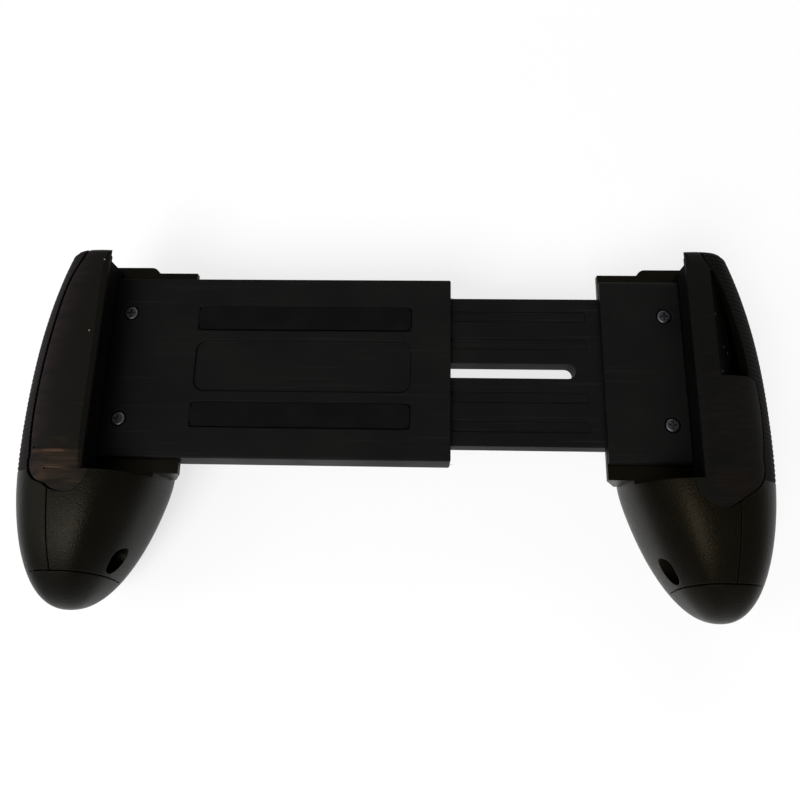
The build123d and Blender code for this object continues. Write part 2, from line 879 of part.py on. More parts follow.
form = handle_outside()
seat = handle_form(strip_wall, 0)
core = handle_form(shell_wall, shell_wall)
left_outline = plate_outline(left_groove_inset, left_corner_edge, left_tongue_edge)
right_outline = plate_outline(right_groove_inset, right_corner_edge, right_tongue_edge)

right_inner, right_outer = shells(form, seat, core, right_outline, right_groove, "slide")
save("right_inner_shell", right_inner)
save("right_outer_shell", right_outer)
save("right_side_strip", side_strip(form, seat, right_outline, right_groove))
save("right_jaw_plate", right_plate_pocket(jaw_plate(form, right_outline), core))
save("right_jaw_pad", jaw_pad())
save("right_end_cap", end_cap(form, seat, core))
save("right_shell_screws", shell_screws())
save("right_bay_plate", right_bay_plate())
save("right_bay_screws", bay_screws())

left_inner, left_outer = shells(form, seat, core, left_outline, left_groove, "sleeve")
save("left_inner_shell", mirrored(left_inner))
save("left_outer_shell", mirrored(left_outer))
save("left_side_strip", mirrored(side_strip(form, seat, left_outline, left_groove)))
save("left_jaw_plate", mirrored(left_plate_marks(jaw_plate(form, left_outline))))
save("left_jaw_pad", mirrored(jaw_pad()))
save("left_end_cap", mirrored(end_cap(form, seat, core)))
save("left_shell_screws", [mirrored(one) for one in shell_screws()])
save("left_bay_screws", [mirrored(one) for one in bay_screws()])

save("bridge_tray", bridge_tray())
save("bridge_rear_cover", rear_cover())
save("rear_cover_screws", cover_screws())
save("stop_screw", stop_screw())
save("slide_plate", slide_plate())
save("slide_spring_pins", slide_pins())
save("tray_spring_posts", spring_posts())
lower_pad, upper_pad = tray_pads()
save("lower_tray_pad", lower_pad)
save("upper_tray_pad", upper_pad)
save("lower_spring", spring(sleeve_middle - spring_offset))
save("upper_spring", spring(sleeve_middle + spring_offset))
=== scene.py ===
import math

import bpy
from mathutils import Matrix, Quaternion, Vector


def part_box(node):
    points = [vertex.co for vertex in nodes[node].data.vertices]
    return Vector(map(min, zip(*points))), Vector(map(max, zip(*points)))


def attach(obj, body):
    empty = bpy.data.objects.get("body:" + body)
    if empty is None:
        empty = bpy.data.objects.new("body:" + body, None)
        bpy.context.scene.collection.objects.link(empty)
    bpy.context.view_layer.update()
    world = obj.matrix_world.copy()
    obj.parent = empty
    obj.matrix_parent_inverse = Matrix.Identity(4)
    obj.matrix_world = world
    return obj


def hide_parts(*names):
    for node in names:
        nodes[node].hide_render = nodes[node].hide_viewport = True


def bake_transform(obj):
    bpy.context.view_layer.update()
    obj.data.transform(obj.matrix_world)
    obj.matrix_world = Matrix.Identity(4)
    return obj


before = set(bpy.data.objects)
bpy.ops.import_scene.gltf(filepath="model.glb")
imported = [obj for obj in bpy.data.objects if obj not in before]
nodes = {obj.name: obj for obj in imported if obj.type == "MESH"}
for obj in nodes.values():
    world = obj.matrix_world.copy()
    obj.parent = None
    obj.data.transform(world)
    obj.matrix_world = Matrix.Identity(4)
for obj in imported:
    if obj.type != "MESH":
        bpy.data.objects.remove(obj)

bpy.ops.object.select_all(action="DESELECT")
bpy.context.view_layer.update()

# Studio. The grip lies on a white sweep in an even pale room. A wide soft key lamp hangs high in front, a
# little to the left, and draws the long streak down each handle. A weaker one stands low on the left.
def linear(code):
    """The linear colour, with full alpha, of an sRGB hex value."""
    parts = [int(code[i:i + 2], 16) / 255 for i in (1, 3, 5)]
    return [c / 12.92 if c < 0.04045 else ((c + 0.055) / 1.055) ** 2.4 for c in parts] + [1.0]


def add_node(owner, kind, options, sockets):
    """Adds a node with its options, and its sockets' values or the outputs they are wired to."""
    made = owner.node_tree.nodes.new(kind)
    for name, value in options.items():
        setattr(made, name, value)
    for name, value in sockets.items():
        if isinstance(value, bpy.types.NodeSocket):
            owner.node_tree.links.new(value, made.inputs[name])
        else:
            made.inputs[name].default_value = value
    return made


def watched(owner):
    """1 where the camera, a reflection or glass looks at the surroundings, and 0 for their light."""
    path = add_node(owner, "ShaderNodeLightPath", {}, {})
    direct = add_node(owner, "ShaderNodeMath", {"operation": "MAXIMUM"}, {
        0: path.outputs["Is Camera Ray"], 1: path.outputs["Is Glossy Ray"]})
    return add_node(owner, "ShaderNodeMath", {"operation": "MAXIMUM"}, {
        0: direct.outputs[0], 1: path.outputs["Is Transmission Ray"]}).outputs[0]


def studio_floor(near, reach, glow):
    """White paper, which takes the grip's shadow near it and looks plain white further out."""
    bpy.ops.mesh.primitive_plane_add(size=4.0, location=(0, 0, 0))
    floor = bpy.context.object
    floor.name = "studio_floor"
    paper = bpy.data.materials.new("white_paper")
    paper.use_nodes = True
    sheet = paper.node_tree.nodes["Principled BSDF"]
    sheet.inputs["Base Color"].default_value = linear("#fcfcfb")
    sheet.inputs["Roughness"].default_value = 0.9
    sheet.inputs["Specular IOR Level"].default_value = 0.1
    place = add_node(paper, "ShaderNodeTexCoord", {}, {}).outputs["Object"]
    away = add_node(paper, "ShaderNodeVectorMath", {"operation": "LENGTH"}, {0: place})
    far = add_node(paper, "ShaderNodeMapRange", {"interpolation_type": "SMOOTHSTEP"}, {
        "Value": away.outputs["Value"], "From Min": near, "From Max": reach, "To Min": glow})
    faded = add_node(paper, "ShaderNodeMath", {"operation": "MULTIPLY"}, {
        0: far.outputs[0], 1: watched(paper)})
    white = add_node(paper, "ShaderNodeEmission", {}, {"Color": linear("#ffffff"), "Strength": 1.0})
    blend = add_node(paper, "ShaderNodeMixShader", {}, {0: faded.outputs[0], 1: sheet.outputs[0],
                                                        2: white.outputs[0]})
    link = paper.node_tree.links.new
    link(blend.outputs[0], paper.node_tree.nodes["Material Output"].inputs["Surface"])
    floor.data.materials.append(paper)
    floor.select_set(False)


def studio_world(level, ceiling, seen):
    """A room that is pale along its walls and dim overhead, and white where the camera sees it."""
    world = bpy.data.worlds.new("pale_room")
    world.use_nodes = True
    world.node_tree.nodes.clear()
    around = add_node(world, "ShaderNodeTexCoord", {}, {})
    height = add_node(world, "ShaderNodeSeparateXYZ", {}, {"Vector": around.outputs["Generated"]})
    upward = add_node(world, "ShaderNodeMapRange", {"interpolation_type": "SMOOTHSTEP"}, {
        "Value": height.outputs["Z"], "From Min": 0.15, "From Max": 0.95, "To Min": level, "To Max": ceiling})
    room = add_node(world, "ShaderNodeBackground", {}, {
        "Color": linear("#f2f3f5"), "Strength": upward.outputs[0]})
    sheet = add_node(world, "ShaderNodeBackground", {}, {"Color": linear("#ffffff"), "Strength": seen})
    mixed = add_node(world, "ShaderNodeMixShader", {}, {0: watched(world), 1: room.outputs[0],
                                                        2: sheet.outputs[0]})
    add_node(world, "ShaderNodeOutputWorld", {}, {"Surface": mixed.outputs[0]})
    bpy.context.scene.world = world


def studio_lamp(name, place, aim, width, height, watts):
    """A rectangular soft lamp at a place, turned towards a point."""
    lamp = bpy.data.lights.new(name, "AREA")
    lamp.shape = "RECTANGLE"
    lamp.size = width
    lamp.size_y = height
    lamp.energy = watts
    holder = bpy.data.objects.new(name, lamp)
    bpy.context.scene.collection.objects.link(holder)
    holder.location = place
    holder.rotation_euler = (Vector(aim) - Vector(place)).to_track_quat("-Z", "Y").to_euler()


def studio_camera(place, aim, roll, lens):
    """The camera, held above the player's side of the grip and turned a little about its own axis."""
    camera = bpy.data.objects.new("camera", bpy.data.cameras.new("camera"))
    bpy.context.scene.collection.objects.link(camera)
    camera.location = place
    look = (Vector(aim) - Vector(place)).to_track_quat("-Z", "Y")
    camera.rotation_euler = (look @ Quaternion((0, 0, 1), math.radians(roll))).to_euler()
    camera.data.lens = lens
    camera.data.clip_start = 0.01
    bpy.context.scene.camera = camera


studio_floor(near=0.12, reach=0.30, glow=0.75)
studio_world(level=0.20, ceiling=0.12, seen=1.0)
studio_lamp("key_lamp", place=(-0.41, -0.87, 1.18), aim=(0, 0, 0.03), width=0.70, height=0.75, watts=21.5)
studio_lamp("left_lamp", place=(-0.96, -0.26, 0.84), aim=(0, 0, 0.03), width=0.80, height=0.80, watts=5.0)
studio_lamp("back_lamp", place=(0.1, 0.9, 0.6), aim=(0, 0.02, 0.03), width=1.0, height=0.5, watts=3.0)
studio_camera(place=(0.00918, -0.04293, 0.22277), aim=(0.00109, 0.01755, 0.0), roll=-6.709, lens=31.66)
bpy.context.scene.view_settings.view_transform = "Standard"


# Handle shells and end caps. Black ABS, injection moulded in a spark-eroded tool, in two halves that
# three long screws close. The cap's spigot is caught between them at the rounded end.
grain_size = 0.0005        # the real pits are near 0.1 mm, too fine to show, so they are drawn coarser
grain_depth = 0.00011
rubbed_patch = 0.028
dull_and_rubbed = (0.31, 0.25)      # roughness of the bare pits and of the skin that hands have polished
shell_ior = 1.09                    # low, because a pitted skin mirrors little of a white room at its rims
edge_round = 0.00045
plate_bed = 0.033          # above this height, and further up than plate_end, a shell is its plate's bed
plate_end = -0.011
# painted shade: black for the shell in the shaded recess under its plate
bed_painted_shade = "#010101"
shell_looks = {
    "left": {"moulded": "#020201", "rubbed": "#080704", "sheen": "#fff6da"},
    "right": {"moulded": "#020201", "rubbed": "#090805", "sheen": "#ffe7bd"},
}


def new_material(name):
    """A material, its surface shader and the object coordinates that its patterns read."""
    material = bpy.data.materials.new(name)
    material.use_nodes = True
    place = add_node(material, "ShaderNodeTexCoord", {}, {}).outputs["Object"]
    return material, material.node_tree.nodes["Principled BSDF"], place


def dress(node, material):
    """Gives a carried CAD node its finish."""
    nodes[node].data.materials.clear()
    nodes[node].data.materials.append(material)


def spark_eroded_abs(name, moulded, rubbed, sheen):
    """A dull skin of fine pits that glint one by one, warmer and smoother in patches where hands rub it."""
    material, surface, place = new_material(name)
    patches = add_node(material, "ShaderNodeTexNoise", {}, {
        "Vector": place, "Scale": 1 / rubbed_patch, "Detail": 3.0, "Roughness": 0.6})
    worn = add_node(material, "ShaderNodeMapRange", {}, {
        "Value": patches.outputs["Fac"], "From Min": 0.40, "From Max": 0.68})
    grain = add_node(material, "ShaderNodeTexNoise", {}, {
        "Vector": place, "Scale": 1 / grain_size, "Detail": 2.0, "Roughness": 0.7})
    speckle = add_node(material, "ShaderNodeMapRange", {}, {
        "Value": grain.outputs["Fac"], "From Min": 0.35, "From Max": 0.70, "To Min": -0.1, "To Max": 0.25})
    tone = add_node(material, "ShaderNodeMath", {"operation": "ADD", "use_clamp": True}, {
        0: worn.outputs["Result"], 1: speckle.outputs["Result"]})
    colour = add_node(material, "ShaderNodeMix", {"data_type": "RGBA"}, {
        0: tone.outputs[0], 6: linear(moulded), 7: linear(rubbed)})

    # Painted shade: the shell under its plate and in the recess beside the strip is painted black and rough
    axes = add_node(material, "ShaderNodeSeparateXYZ", {}, {"Vector": place})
    above = add_node(material, "ShaderNodeMath", {"operation": "GREATER_THAN"}, {
        0: axes.outputs["Y"], 1: plate_end})
    front = add_node(material, "ShaderNodeMath", {"operation": "GREATER_THAN"}, {
        0: axes.outputs["Z"], 1: plate_bed})
    bed = add_node(material, "ShaderNodeMath", {"operation": "MULTIPLY"}, {
        0: above.outputs[0], 1: front.outputs[0]})
    skin = add_node(material, "ShaderNodeMix", {"data_type": "RGBA"}, {
        0: bed.outputs[0], 6: colour.outputs[2], 7: linear(bed_painted_shade)})
    gloss = add_node(material, "ShaderNodeMapRange", {}, {
        "Value": worn.outputs["Result"], "To Min": dull_and_rubbed[0], "To Max": dull_and_rubbed[1]})
    dull = add_node(material, "ShaderNodeMath", {"operation": "MAXIMUM"}, {
        0: gloss.outputs["Result"], 1: bed.outputs[0]})
    edges = add_node(material, "ShaderNodeBevel", {"samples": 4}, {"Radius": edge_round})
    pits = add_node(material, "ShaderNodeBump", {}, {
        "Height": grain.outputs["Fac"], "Normal": edges.outputs[0], "Strength": 1.0, "Distance": grain_depth})
    link = material.node_tree.links.new
    link(skin.outputs[2], surface.inputs["Base Color"])
    link(dull.outputs[0], surface.inputs["Roughness"])
    link(pits.outputs[0], surface.inputs["Normal"])
    surface.inputs["IOR"].default_value = shell_ior
    surface.inputs["Specular IOR Level"].default_value = 1.0
    surface.inputs["Specular Tint"].default_value = linear(sheen)
    return material


for side, looks in shell_looks.items():
    shell_abs = spark_eroded_abs(f"{side}_spark_eroded_abs", **looks)
    for part in ("inner_shell", "outer_shell", "end_cap"):
        dress(f"{side}_{part}", shell_abs)


# Front plates of the jaws. Smooth satin ABS, moulded apart and clipped over the shells, with a broken inner
# edge. Skin oil has dulled them along the groove, and worn the gloss to copper and brown near the thumbs.
plate_rim = 0.0002
smooth_turn = 36           # degrees: the plates' slanted flat stays crisp, and a rounded edge stays smooth
flat_turn = 0.6
same_point = 1e-6
groove_place = 0.0962
groove_bow = 2.9
oily_band = (0.001, 0.0075)         # from the groove inwards, where the oil is full and where it ends
speck_size = 0.00024
patch_size = 0.0035
smear_scale = (160.0, 620.0, 200.0)         # smears 6 mm long and under 2 mm wide
hairline_scale = (90.0, 2600.0, 900.0)      # finer hairlines than 0.4 mm wouldn't show
hairline_lean = 0.12
satin_gloss = (0.40, 0.50)
satin_ior = 1.09
wedge_shade_depth = (0.0432, 0.0415)      # the heights where the painted shade on the wedge's floor starts and is full
# Painted light and shade: the left plate's satin is lighter and the right's darker, for how light falls on
# each side
plate_looks = {
    "left": {
        "satin": "#0e0d0a", "oil": "#1b1415", "copper": "#463427", "wedge_shade_low": 1.0,
        "worn_spots": (((-0.0893, -0.0091), (0.0052, 0.0005), 0.9),
                       ((-0.0872, -0.0131), (0.0040, 0.0005), 0.8),
                       ((-0.0912, -0.0154), (0.0030, 0.0016), 0.45),
                       ((-0.0866, -0.0130), (0.0100, 0.0072), 0.28)),
        "dust": ((-0.0832, 0.0245), (-0.0818, 0.0460)),
    },
    "right": {
        "satin": "#070706", "oil": "#0c0a09", "copper": "#130e0b", "wedge_shade_low": 0.0134,
        "worn_spots": (((0.0885, 0.0000), (0.0110, 0.0140), 0.6), ((0.0880, -0.0150), (0.0100, 0.0090), 0.8)),
        "dust": ((0.0874, 0.0310), (0.0906, 0.0230), (0.0921, 0.0219), (0.0882, 0.0151)),
    },
}


def joined_copy(node, name):
    """A piece of its own with a node's mesh, its loose triangles joined and its flat faces made whole."""
    mesh = nodes[node].data.copy()
    mesh.name = name
    piece = bpy.data.objects.new(name, mesh)
    bpy.context.scene.collection.objects.link(piece)
    piece.select_set(True)
    bpy.context.view_layer.objects.active = piece
    if mesh.has_custom_normals:
        bpy.ops.mesh.customdata_custom_splitnormals_clear()
    bpy.ops.object.mode_set(mode="EDIT")
    bpy.ops.mesh.select_all(action="SELECT")
    bpy.ops.mesh.remove_doubles(threshold=same_point)
    bpy.ops.mesh.dissolve_limited(angle_limit=math.radians(flat_turn))
    bpy.ops.mesh.select_all(action="DESELECT")
    bpy.ops.object.mode_set(mode="OBJECT")
    return piece


def set_down(piece, material, body, node):
    """Ends work on a piece: smooth where it is round, with its finish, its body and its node."""
    bpy.ops.object.shade_smooth_by_angle(angle=math.radians(smooth_turn))
    even = piece.modifiers.new("even_shading", "WEIGHTED_NORMAL")
    even.keep_sharp = True
    bpy.ops.object.modifier_apply(modifier=even.name)
    piece.data.materials.clear()
    piece.data.materials.append(material)
    piece.select_set(False)
    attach(piece, body)
    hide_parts(node)


def satin_abs_plate(name, satin, oil, copper, wedge_shade_low, worn_spots, dust):
    """Satin ABS: hairlines, dust, groove oil, gloss worn to copper by the thumb, and painted wedge shade."""
    material, surface, place = new_material(name)
    axes = add_node(material, "ShaderNodeSeparateXYZ", {}, {"Vector": place})
    patches = add_node(material, "ShaderNodeTexNoise", {}, {
        "Vector": place, "Scale": 1 / patch_size, "Detail": 4.0, "Roughness": 0.65})

    # How far inboard of the groove a point lies, which is where fingers leave their marks
    square = add_node(material, "ShaderNodeMath", {"operation": "MULTIPLY"}, {
        0: axes.outputs["Y"], 1: axes.outputs["Y"]})
    groove = add_node(material, "ShaderNodeMath", {"operation": "MULTIPLY_ADD"}, {
        0: square.outputs[0], 1: -groove_bow, 2: groove_place})
    across = add_node(material, "ShaderNodeMath", {"operation": "ABSOLUTE"}, {0: axes.outputs["X"]})
    inboard = add_node(material, "ShaderNodeMath", {"operation": "SUBTRACT"}, {
        0: groove.outputs[0], 1: across.outputs[0]})
    beside = add_node(material, "ShaderNodeMapRange", {"interpolation_type": "SMOOTHSTEP"}, {
        "Value": inboard.outputs[0], "From Min": oily_band[0], "From Max": oily_band[1],
        "To Min": 1.0, "To Max": 0.0})
    wipes = add_node(material, "ShaderNodeMapping", {}, {"Vector": place, "Scale": smear_scale})
    smears = add_node(material, "ShaderNodeTexNoise", {}, {
        "Vector": wipes.outputs[0], "Scale": 1.0, "Detail": 3.0})
    blotch = add_node(material, "ShaderNodeMapRange", {}, {
        "Value": smears.outputs["Fac"], "From Min": 0.38, "From Max": 0.62, "To Min": 0.15})
    oily = add_node(material, "ShaderNodeMath", {"operation": "MULTIPLY"}, {
        0: beside.outputs[0], 1: blotch.outputs[0]})

    # Each worn spot is an oval that fades outwards, and the noise breaks its edge
    worn = None
    for (x, y), (half_width, half_height), depth in worn_spots:
        oval = add_node(material, "ShaderNodeMapping", {"vector_type": "TEXTURE"}, {
            "Vector": place, "Location": (x, y, 0.0), "Scale": (half_width, half_height, 1.0)})
        spot = add_node(material, "ShaderNodeVectorMath", {"operation": "LENGTH"}, {0: oval.outputs[0]})
        ragged = add_node(material, "ShaderNodeMath", {"operation": "MULTIPLY_ADD"}, {
            0: smears.outputs["Fac"], 1: -3.0, 2: 1.5})
        edge = add_node(material, "ShaderNodeMath", {"operation": "ADD"}, {
            0: spot.outputs["Value"], 1: ragged.outputs[0]})
        fade = add_node(material, "ShaderNodeMapRange", {"interpolation_type": "SMOOTHSTEP"}, {
            "Value": edge.outputs[0], "From Min": 0.1, "From Max": 1.2, "To Min": depth, "To Max": 0.0})
        if worn is not None:
            fade = add_node(material, "ShaderNodeMath", {"operation": "MAXIMUM"}, {
                0: worn, 1: fade.outputs[0]})
        worn = fade.outputs[0]

    # Hairlines from wiping, which streak the worn spots too, and dust caught by the static of the plastic
    wiped = add_node(material, "ShaderNodeMapping", {}, {
        "Vector": place, "Scale": hairline_scale, "Rotation": (0.0, 0.0, hairline_lean)})
    hair = add_node(material, "ShaderNodeTexNoise", {}, {"Vector": wiped.outputs[0], "Scale": 1.0})
    hairlines = add_node(material, "ShaderNodeMapRange", {}, {
        "Value": hair.outputs["Fac"], "From Min": 0.69, "From Max": 0.77})
    streaks = add_node(material, "ShaderNodeMapRange", {}, {
        "Value": hair.outputs["Fac"], "From Min": 0.38, "From Max": 0.62, "To Min": 0.4, "To Max": 1.1})
    streaked = add_node(material, "ShaderNodeMath", {"operation": "MULTIPLY", "use_clamp": True}, {
        0: worn, 1: streaks.outputs["Result"]})
    flat = add_node(material, "ShaderNodeVectorMath", {"operation": "MULTIPLY"}, {
        0: place, 1: (1.0, 1.0, 0.0)})
    dusty = None
    for x, y in dust:
        gap = add_node(material, "ShaderNodeVectorMath", {"operation": "DISTANCE"}, {
            0: flat.outputs[0], 1: (x, y, 0.0)})
        speck = add_node(material, "ShaderNodeMapRange", {}, {
            "Value": gap.outputs["Value"], "From Min": speck_size * 0.5, "From Max": speck_size,
            "To Min": 1.0, "To Max": 0.0})
        if dusty is not None:
            speck = add_node(material, "ShaderNodeMath", {"operation": "MAXIMUM"}, {
                0: dusty, 1: speck.outputs[0]})
        dusty = speck.outputs[0]

    # Painted shade: the wedge's floor darkens with depth below the plate, where shade falls in the pocket
    deep = add_node(material, "ShaderNodeMapRange", {}, {
        "Value": axes.outputs["Z"], "From Min": wedge_shade_depth[0], "From Max": wedge_shade_depth[1]})
    upper = add_node(material, "ShaderNodeMath", {"operation": "GREATER_THAN"}, {
        0: axes.outputs["Y"], 1: wedge_shade_low})
    wedge = add_node(material, "ShaderNodeMath", {"operation": "MULTIPLY"}, {
        0: deep.outputs[0], 1: upper.outputs[0]})

    # Of these layers the wedge's is painted shade; the oil, copper wear, hairlines and dust are the plate's
    # own
    layers = ((oily.outputs[0], oil), (streaked.outputs[0], copper), (wedge.outputs[0], "#090908"),
              (hairlines.outputs[0], "#1a1916"), (dusty, "#8d8a82"))
    colour = linear(satin)
    for amount, code in layers:
        colour = add_node(material, "ShaderNodeMix", {"data_type": "RGBA"}, {
            0: amount, 6: colour, 7: linear(code)}).outputs[2]
    gloss = add_node(material, "ShaderNodeMapRange", {}, {
        "Value": patches.outputs["Fac"], "From Min": 0.3, "From Max": 0.7,
        "To Min": satin_gloss[0], "To Max": satin_gloss[1]})
    edges = add_node(material, "ShaderNodeBevel", {"samples": 4}, {"Radius": plate_rim})
    skin = add_node(material, "ShaderNodeBump", {}, {
        "Height": hair.outputs["Fac"], "Normal": edges.outputs[0], "Strength": 0.12, "Distance": 0.00004})
    link = material.node_tree.links.new
    link(colour, surface.inputs["Base Color"])
    link(gloss.outputs["Result"], surface.inputs["Roughness"])
    link(skin.outputs[0], surface.inputs["Normal"])
    surface.inputs["IOR"].default_value = satin_ior
    surface.inputs["Specular IOR Level"].default_value = 0.8
    return material


for side, looks in plate_looks.items():
    plate = joined_copy(f"{side}_jaw_plate", f"{side}_front_plate")
    satin_abs = satin_abs_plate(f"{side}_satin_abs_plate", **looks)
    set_down(plate, satin_abs, f"{side}_handle", f"{side}_jaw_plate")


# Side strips. Thin soft thermoplastic rubber, moulded over the outer shells, with fine ribs across it for the
# palms. It wraps the handle's outer side from the groove to the back.
rib_pitch = 0.0013
rib_height = 0.00012
rib_slope = 0.15
rib_crest = 0.35
handle_middle = 0.022
strip_turn = 0.01          # this far above or below the middle, the strip faces as much up or down as it can
strip_tooth = 0.0003       # real soft-touch tooth is near 0.05 mm, too fine to show
tooth_depth = 0.00006
grime_patch = 0.009
rubber_edge = 0.00015
dull_level = 0.03          # rubber and glass-filled nylon hardly mirror the room
# Painted light and shade: the left strip's rubber is painted lighter and the right's darker, for how light
# falls on each side; each side's second tone is grime
strip_lit_and_shaded_tones = {"left": ("#141112", "#1a1617"), "right": ("#050504", "#080706")}


def soft_rubber(name, colour, grime, tooth):
    """Soft-touch rubber: broad dull reflection, a fine tooth and a little grime in patches."""
    material, surface, place = new_material(name)
    tooth_noise = add_node(material, "ShaderNodeTexNoise", {}, {
        "Vector": place, "Scale": 1 / tooth, "Detail": 2.0})
    patches = add_node(material, "ShaderNodeTexNoise", {}, {
        "Vector": place, "Scale": 1 / grime_patch, "Detail": 3.0})
    spread = add_node(material, "ShaderNodeMapRange", {}, {
        "Value": patches.outputs["Fac"], "From Min": 0.40, "From Max": 0.65})
    tone = add_node(material, "ShaderNodeMix", {"data_type": "RGBA"}, {
        0: spread.outputs[0], 6: linear(colour), 7: linear(grime)})
    edges = add_node(material, "ShaderNodeBevel", {"samples": 4}, {"Radius": rubber_edge})
    skin = add_node(material, "ShaderNodeBump", {}, {
        "Height": tooth_noise.outputs["Fac"], "Normal": edges.outputs[0],
        "Strength": 0.4, "Distance": tooth_depth})
    link = material.node_tree.links.new
    link(tone.outputs[2], surface.inputs["Base Color"])
    link(skin.outputs[0], surface.inputs["Normal"])
    surface.inputs["Roughness"].default_value = 0.68
    surface.inputs["Specular IOR Level"].default_value = dull_level
    return material


def rib_depth(y):
    """How deep a point at y lies between the crests of the ribs, from 0 to 1."""
    phase = (y / rib_pitch) % 1.0
    if phase < rib_crest:
        return 0.0
    if phase < rib_crest + rib_slope:
        return (phase - rib_crest) / rib_slope
    return min(1.0, (1.0 - phase) / rib_slope)


def cut_ribs(piece):
    """Cuts the strip across at each rib's corners and sinks the valleys between the crests."""
    low = min(v.co.y for v in piece.data.vertices)
    high = max(v.co.y for v in piece.data.vertices)
    bpy.ops.object.mode_set(mode="EDIT")
    for number in range(int(low / rib_pitch) - 1, int(high / rib_pitch) + 2):
        for phase in (0.0, rib_crest, rib_crest + rib_slope, 1.0 - rib_slope):
            y = (number + phase) * rib_pitch
            if low < y < high:
                bpy.ops.mesh.select_all(action="SELECT")
                bpy.ops.mesh.bisect(plane_co=(0, y, 0), plane_no=(0, 1, 0))
    bpy.ops.mesh.select_all(action="DESELECT")
    bpy.ops.object.mode_set(mode="OBJECT")
    outer = math.copysign(1.0, sum(v.co.x for v in piece.data.vertices))
    skin = {}
    for face in piece.data.polygons:
        rise = face.center.z - handle_middle
        upward = math.copysign(min(1.0, abs(rise) / strip_turn), rise)
        if face.normal.dot(Vector((0.8 * outer, 0.0, 0.6 * upward))) > 0.35:
            for v in face.vertices:
                skin.setdefault(v, []).append(face.normal.copy())
    for v, normals in skin.items():
        point = piece.data.vertices[v]
        out = sum(normals, Vector()).normalized()
        point.co -= out * rib_height * rib_depth(point.co.y)


for side, (clean, grimy) in strip_lit_and_shaded_tones.items():
    strip_rubber = soft_rubber(f"{side}_soft_touch_tpe", clean, grimy, strip_tooth)
    strip = joined_copy(f"{side}_side_strip", f"{side}_ribbed_strip")
    cut_ribs(strip)
    set_down(strip, strip_rubber, f"{side}_handle", f"{side}_side_strip")


# Jaw pads. Black silicone rubber, moulded as an angle and glued into each jaw, so that what it
# grips bears on something soft at its side and its front edge.
pad_round = 0.0003
silicone_tooth = 0.0004
pad_rubber = soft_rubber("black_silicone", "#040404", "#070606", silicone_tooth)


def round_edges(piece, width):
    """Rounds a piece's sharp edges, as its mould does."""
    bpy.context.tool_settings.mesh_select_mode = (False, True, False)
    bpy.ops.object.mode_set(mode="EDIT")
    bpy.ops.mesh.select_all(action="DESELECT")
    bpy.ops.mesh.edges_select_sharp(sharpness=math.radians(40))
    bpy.ops.mesh.bevel(offset=width, segments=2, clamp_overlap=False)
    bpy.ops.mesh.select_all(action="DESELECT")
    bpy.ops.object.mode_set(mode="OBJECT")


for side in ("left", "right"):
    pad = joined_copy(f"{side}_jaw_pad", f"{side}_jaw_lining")
    round_edges(pad, pad_round)
    set_down(pad, pad_rubber, f"{side}_handle", f"{side}_jaw_pad")


# Bridge. The sleeve's tray and rear cover, the slide and the right end of the bay's floor, all moulded in
# black glass-filled nylon. Their edges are rounded by the mould, and the flats have a fine even texture.
nylon_texture = 0.0004     # the real sparkle is near 0.1 mm, so it is drawn coarser
nylon_flow = 0.02
scuff_scale = (25.0, 1800.0, 900.0)         # scuffs 40 mm long and half a millimetre wide
bridge_pieces = {
    "bridge_tray": ("sleeve_tray", "left_handle", 0.0005),
    "bridge_rear_cover": ("sleeve_cover", "left_handle", 0.0003),
    "slide_plate": ("bridge_slide_bar", "right_handle", 0.0004),
    "right_bay_plate": ("bay_floor_end", "right_handle", 0.0004),
}


def moulded_nylon(name):
    """Glass-filled nylon: a fine sparkling texture, paler flow marks and scuffs where the slide runs."""
    material, surface, place = new_material(name)
    texture = add_node(material, "ShaderNodeTexNoise", {}, {
        "Vector": place, "Scale": 1 / nylon_texture, "Detail": 2.0, "Roughness": 0.7})
    flow = add_node(material, "ShaderNodeTexNoise", {}, {
        "Vector": place, "Scale": 1 / nylon_flow, "Detail": 3.0})
    drift = add_node(material, "ShaderNodeMapRange", {}, {
        "Value": flow.outputs["Fac"], "From Min": 0.35, "From Max": 0.7})
    colour = add_node(material, "ShaderNodeMix", {"data_type": "RGBA"}, {
        0: drift.outputs[0], 6: linear("#0c0c0c"), 7: linear("#111110")})
    runs = add_node(material, "ShaderNodeMapping", {}, {"Vector": place, "Scale": scuff_scale})
    rubs = add_node(material, "ShaderNodeTexNoise", {}, {
        "Vector": runs.outputs[0], "Scale": 1.0, "Detail": 3.0})
    scuffs = add_node(material, "ShaderNodeMapRange", {}, {
        "Value": rubs.outputs["Fac"], "From Min": 0.62, "From Max": 0.72, "To Max": 0.6})
    scuffed = add_node(material, "ShaderNodeMix", {"data_type": "RGBA"}, {
        0: scuffs.outputs[0], 6: colour.outputs[2], 7: linear("#1d1b1a")})
    gloss = add_node(material, "ShaderNodeMapRange", {}, {
        "Value": flow.outputs["Fac"], "From Min": 0.3, "From Max": 0.7, "To Min": 0.52, "To Max": 0.42})
    pits = add_node(material, "ShaderNodeBump", {}, {
        "Height": texture.outputs["Fac"], "Strength": 0.5, "Distance": 0.00006})
    link = material.node_tree.links.new
    link(scuffed.outputs[2], surface.inputs["Base Color"])
    link(gloss.outputs["Result"], surface.inputs["Roughness"])
    link(pits.outputs[0], surface.inputs["Normal"])
    surface.inputs["Specular IOR Level"].default_value = dull_level
    return material


nylon = moulded_nylon("glass_filled_nylon")
for node, (name, body, width) in bridge_pieces.items():
    piece = joined_copy(node, name)
    round_edges(piece, width)
    set_down(piece, nylon, body, node)


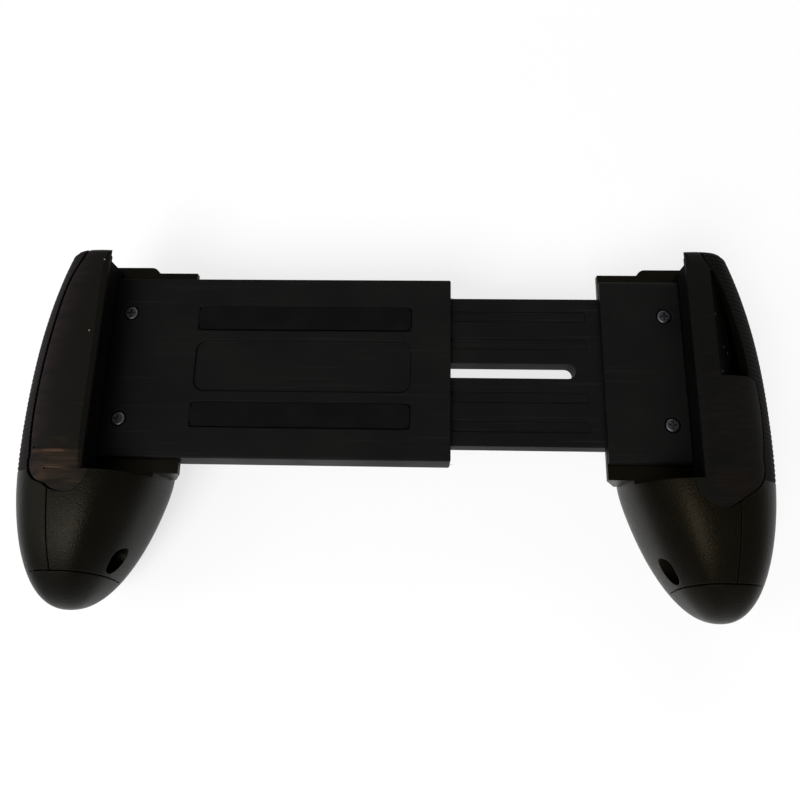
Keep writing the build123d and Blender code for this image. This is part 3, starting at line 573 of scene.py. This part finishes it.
# Tray pads. Two strips of black rubber with a fine cross ribbing, glued into shallow seats in the tray,
# which keep what lies in the bay from sliding.
tray_rib_pitch = 0.0020
tray_rib_height = 0.00035
tray_rib_margin = 0.0020
tray_rib_cuts = (0.0, 0.15, 0.45, 0.60)     # a groove's two banks and its floor, as shares of the pitch
tray_rubber = soft_rubber("ribbed_tray_rubber", "#060606", "#0b0a0a", silicone_tooth)
for row in ("lower", "upper"):
    low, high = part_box(f"{row}_tray_pad")
    strip = joined_copy(f"{row}_tray_pad", f"{row}_ribbed_pad")
    first = low[0] + tray_rib_margin
    groove_low = low[1] + tray_rib_margin / 2
    groove_high = high[1] - tray_rib_margin / 2
    count = int((high[0] - low[0] - 2 * tray_rib_margin) / tray_rib_pitch)
    bpy.ops.object.mode_set(mode="EDIT")
    for side, spot in ((1, groove_low), (-1, groove_high)):
        bpy.ops.mesh.select_all(action="SELECT")
        bpy.ops.mesh.bisect(plane_co=(0, spot, 0), plane_no=(0, side, 0))
    for number in range(count):
        for phase in tray_rib_cuts:
            x = first + (number + phase) * tray_rib_pitch
            bpy.ops.mesh.select_all(action="SELECT")
            bpy.ops.mesh.bisect(plane_co=(x, 0, 0), plane_no=(1, 0, 0))
    bpy.ops.mesh.select_all(action="DESELECT")
    bpy.ops.object.mode_set(mode="OBJECT")
    for point in strip.data.vertices:
        phase = (point.co.x - first) / tray_rib_pitch
        inside = groove_low - same_point < point.co.y < groove_high + same_point
        on_floor = tray_rib_cuts[0] + 0.1 < phase % 1 < tray_rib_cuts[3] - 0.1
        if inside and point.co.z > high[2] - 1e-5 and 0 < phase < count and on_floor:
            point.co.z -= tray_rib_height
    set_down(strip, tray_rubber, "left_handle", f"{row}_tray_pad")


# Fasteners. Pan-head screws with a cross recess, black oxide over steel, one set a group: handle halves, bay
# floor, rear cover and the slide's stop. The springs' posts and pins are plain ground steel.
finish_patch = 0.0006
steel_edge = 0.00008


def machined_steel(name, colour, roughness, blotch):
    """Steel that glints unevenly, because its finish is thicker in some places than in others."""
    material, surface, place = new_material(name)
    finish = add_node(material, "ShaderNodeTexNoise", {}, {
        "Vector": place, "Scale": 1 / finish_patch, "Detail": 3.0})
    thin = add_node(material, "ShaderNodeMix", {"data_type": "RGBA"}, {
        0: finish.outputs["Fac"], 6: linear(colour), 7: linear(blotch)})
    rough = add_node(material, "ShaderNodeMapRange", {}, {
        "Value": finish.outputs["Fac"], "To Min": roughness - 0.08, "To Max": roughness + 0.10})
    edges = add_node(material, "ShaderNodeBevel", {"samples": 4}, {"Radius": steel_edge})
    link = material.node_tree.links.new
    link(thin.outputs[2], surface.inputs["Base Color"])
    link(rough.outputs["Result"], surface.inputs["Roughness"])
    link(edges.outputs[0], surface.inputs["Normal"])
    surface.inputs["Metallic"].default_value = 1.0
    return material


oxide = machined_steel("black_oxide_steel", "#2c2c2e", 0.38, "#4a4a4d")
bright = machined_steel("ground_steel", "#8f9092", 0.25, "#a6a7a8")
for node in ("left_shell_screws", "right_shell_screws", "left_bay_screws", "right_bay_screws",
             "rear_cover_screws", "stop_screw"):
    dress(node, oxide)
for node in ("tray_spring_posts", "slide_spring_pins"):
    dress(node, bright)


# Springs. Two extension springs of bright music wire inside the sleeve. Each hooks on a post in the sleeve
# and on a pin in the slide. The real spring shortens with the bridge; this coil keeps its place and length.
wire_turn = 32
wire = machined_steel("music_wire", "#9a9b9d", 0.22, "#b4b5b6")
for row in ("lower", "upper"):
    low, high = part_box(f"{row}_spring")
    coil = joined_copy(f"{row}_spring", f"{row}_coil")
    bpy.ops.object.shade_smooth_by_angle(angle=math.radians(wire_turn))
    coil.data.materials.clear()
    coil.data.materials.append(wire)
    coil.select_set(False)
    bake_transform(coil)
    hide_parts(f"{row}_spring")
